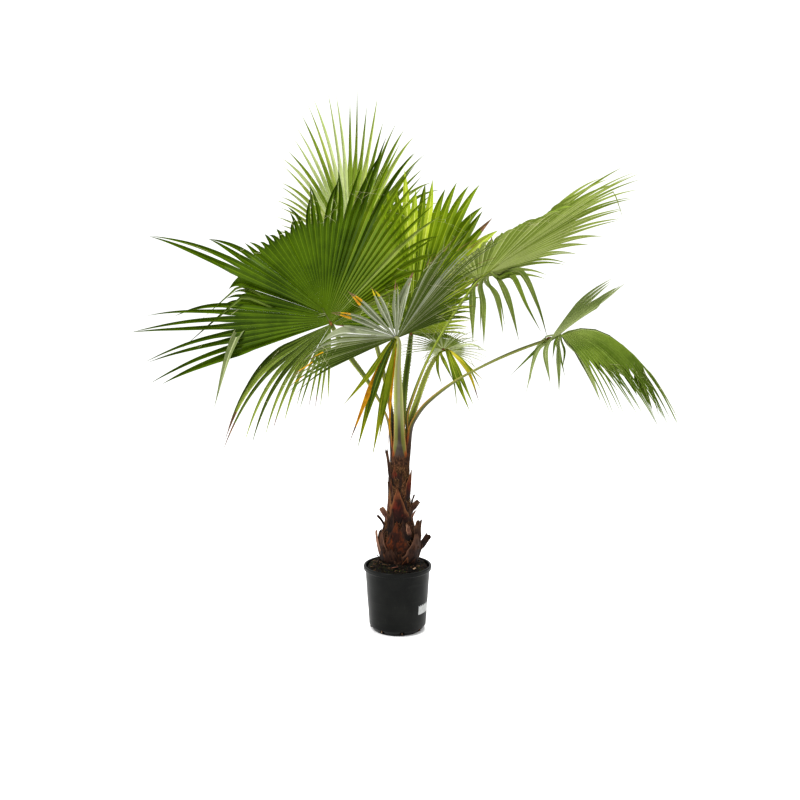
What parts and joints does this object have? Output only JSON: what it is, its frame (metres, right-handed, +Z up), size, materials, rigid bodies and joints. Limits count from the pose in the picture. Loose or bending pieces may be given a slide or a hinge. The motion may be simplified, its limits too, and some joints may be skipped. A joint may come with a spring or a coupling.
{
  "type": "potted palm",
  "caption": "Young Mexican fan palm in a round black nursery pot: short trunk wrapped in old leaf bases, long thin stalks and broad pleated fan leaves.",
  "frame": {"origin": "centre of the flat underside of the pot", "axes": "+Z up along the pot's axis; -Y is the plant's front, towards which its lowest big frond leans; +X is to the right of that front, where the longest arching frond reaches"},
  "size_m": [2.0636, 1.2674, 2.1815],
  "materials": {
    "pot": "satin black polyethylene, slightly scuffed",
    "pot_label": "blank white paper label",
    "soil": "moist dark potting soil with bark chips",
    "trunk": "reddish brown fibrous trunk",
    "old_leaf_base": "dry split leaf bases, red brown with tan edges",
    "stalk": "smooth fibrous leaf stalk",
    "blade": "pleated leaf, semi-matte"
  },
  "bodies": {
    "root": {"pot": "pot", "pot_label": "pot_label", "soil": "soil", "trunk": "trunk", "boot_back_left": "old_leaf_base", "boot_back_lower": "old_leaf_base", "boot_back_upper": "old_leaf_base", "boot_front_lower": "old_leaf_base", "boot_front_upper": "old_leaf_base", "boot_left_lower": "old_leaf_base", "boot_right_upper": "old_leaf_base", "boot_top_left": "old_leaf_base", "boot_top_right": "old_leaf_base", "stub_back_right": "old_leaf_base", "stub_front_cut": "old_leaf_base", "stub_left_dark": "old_leaf_base", "stub_left_mid": "old_leaf_base", "stub_left_strap": "old_leaf_base", "stub_right_dark": "old_leaf_base", "stub_right_low": "old_leaf_base", "stub_right_mid": "old_leaf_base", "back_blade_1": "blade", "back_blade_2": "blade", "back_stalk": "stalk", "front_blade_1": "blade", "front_blade_2": "blade", "front_blade_3": "blade", "front_stalk": "stalk", "left_blade_1": "blade", "left_blade_2": "blade", "left_blade_3": "blade", "left_blade_4": "blade", "left_stalk": "stalk", "right_blade_1": "blade", "right_blade_2": "blade", "right_blade_3": "blade", "right_stalk_lower": "stalk", "right_stalk_upper": "stalk", "small_blade_1": "blade", "small_blade_2": "blade", "small_stalk": "stalk", "tall_blade_1": "blade", "tall_blade_2": "blade", "tall_stalk": "stalk", "upper_right_blade_1": "blade", "upper_right_blade_2": "blade", "upper_right_blade_3": "blade", "upper_right_stalk": "stalk"}
  },
  "joints": []
}
